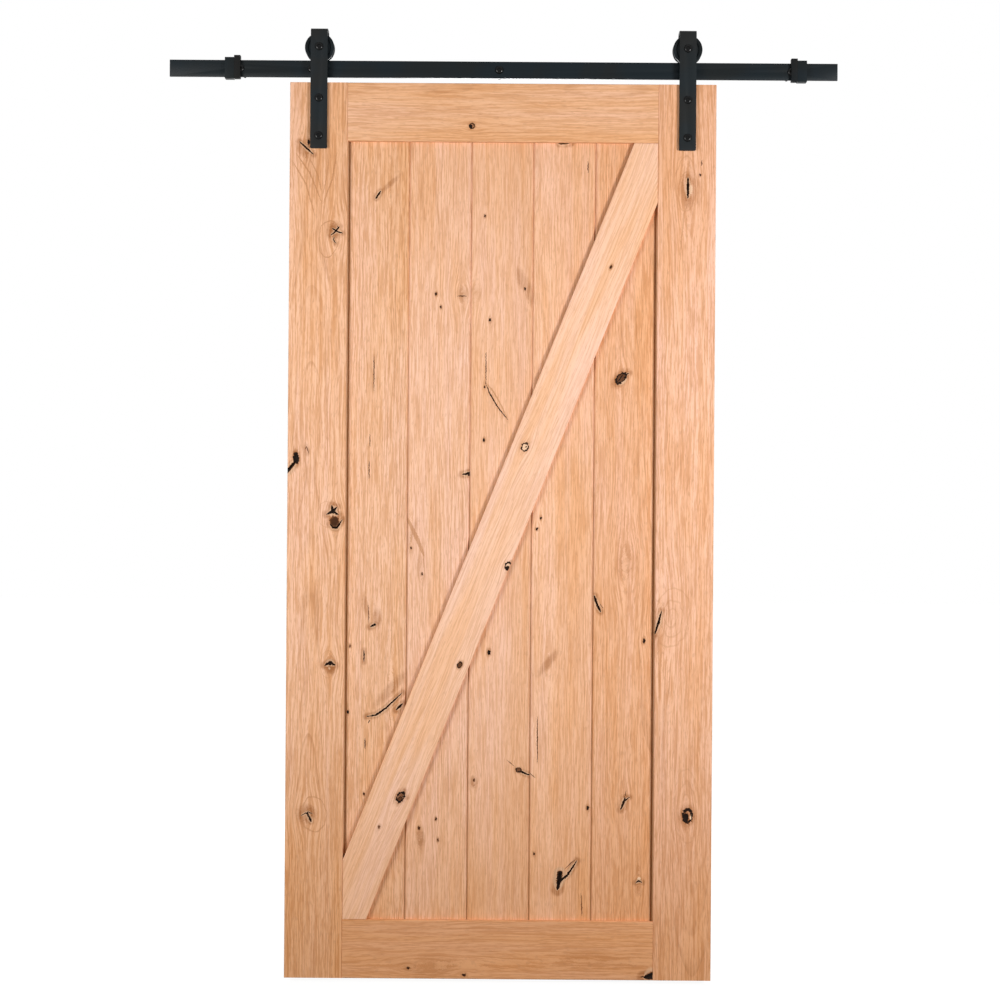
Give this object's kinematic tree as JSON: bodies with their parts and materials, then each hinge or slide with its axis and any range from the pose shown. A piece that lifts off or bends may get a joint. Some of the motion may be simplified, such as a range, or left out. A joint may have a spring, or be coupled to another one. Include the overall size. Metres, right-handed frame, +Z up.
{
  "type": "barn door",
  "caption": "Framed plank sliding door with a diagonal brace, hung by bent strap hangers and grooved wheels from a flat wall-mounted track with end stops.",
  "frame": {"origin": "on the wall face, at the axis of the middle track bolt, which is at the track's mid-height", "axes": "+X along the track to the right as seen from the room, +Y into the wall, +Z up"},
  "size_m": [1.595, 0.1025, 2.2621],
  "materials": {
    "frame_wood": "satin",
    "panel_wood": "satin",
    "brace_wood": "satin",
    "black_steel": "satin",
    "bolt_steel": "satin",
    "bare_steel": "satin",
    "bumper_rubber": "matte"
  },
  "bodies": {
    "track": {"track_rail": "black_steel", "wall_spacers": "black_steel", "track_bolts": "bolt_steel", "stop_screws": "bolt_steel", "left_stop": "black_steel", "left_stop_bumper": "bumper_rubber", "right_stop": "black_steel", "right_stop_bumper": "bumper_rubber"},
    "door": {"left_stile": "frame_wood", "right_stile": "frame_wood", "top_rail": "frame_wood", "bottom_rail": "frame_wood", "panel_board_1": "panel_wood", "panel_board_2": "panel_wood", "panel_board_3": "panel_wood", "panel_board_4": "panel_wood", "panel_board_5": "panel_wood", "front_brace": "brace_wood", "back_brace": "brace_wood", "left_hanger_strap": "black_steel", "right_hanger_strap": "black_steel", "hanger_bolts": "bolt_steel", "hanger_nuts": "bolt_steel", "axle_bolts": "bolt_steel", "axle_nuts": "bolt_steel"},
    "left_wheel_set": {"left_wheel": "black_steel", "left_wheel_bearing": "bare_steel"},
    "right_wheel_set": {"right_wheel": "black_steel", "right_wheel_bearing": "bare_steel"}
  },
  "joints": [
    {"name": "door_slide", "type": "slide", "parent": "track", "child": "door", "axis": [1, 0, 0], "range_m": [-0.1535, 0.212]},
    {"name": "left_wheel_spin", "type": "hinge", "parent": "door", "child": "left_wheel_set", "pos_m": [-0.429, -0.033, 0.0497], "axis": [0, 1, 0], "continuous": true},
    {"name": "right_wheel_spin", "type": "hinge", "parent": "door", "child": "right_wheel_set", "pos_m": [0.449, -0.033, 0.0497], "axis": [0, 1, 0], "continuous": true}
  ],
  "couplings": [
    {"joint": "left_wheel_spin", "follows": "door_slide", "rad_per_m": 33.898},
    {"joint": "right_wheel_spin", "follows": "door_slide", "rad_per_m": 33.898}
  ]
}
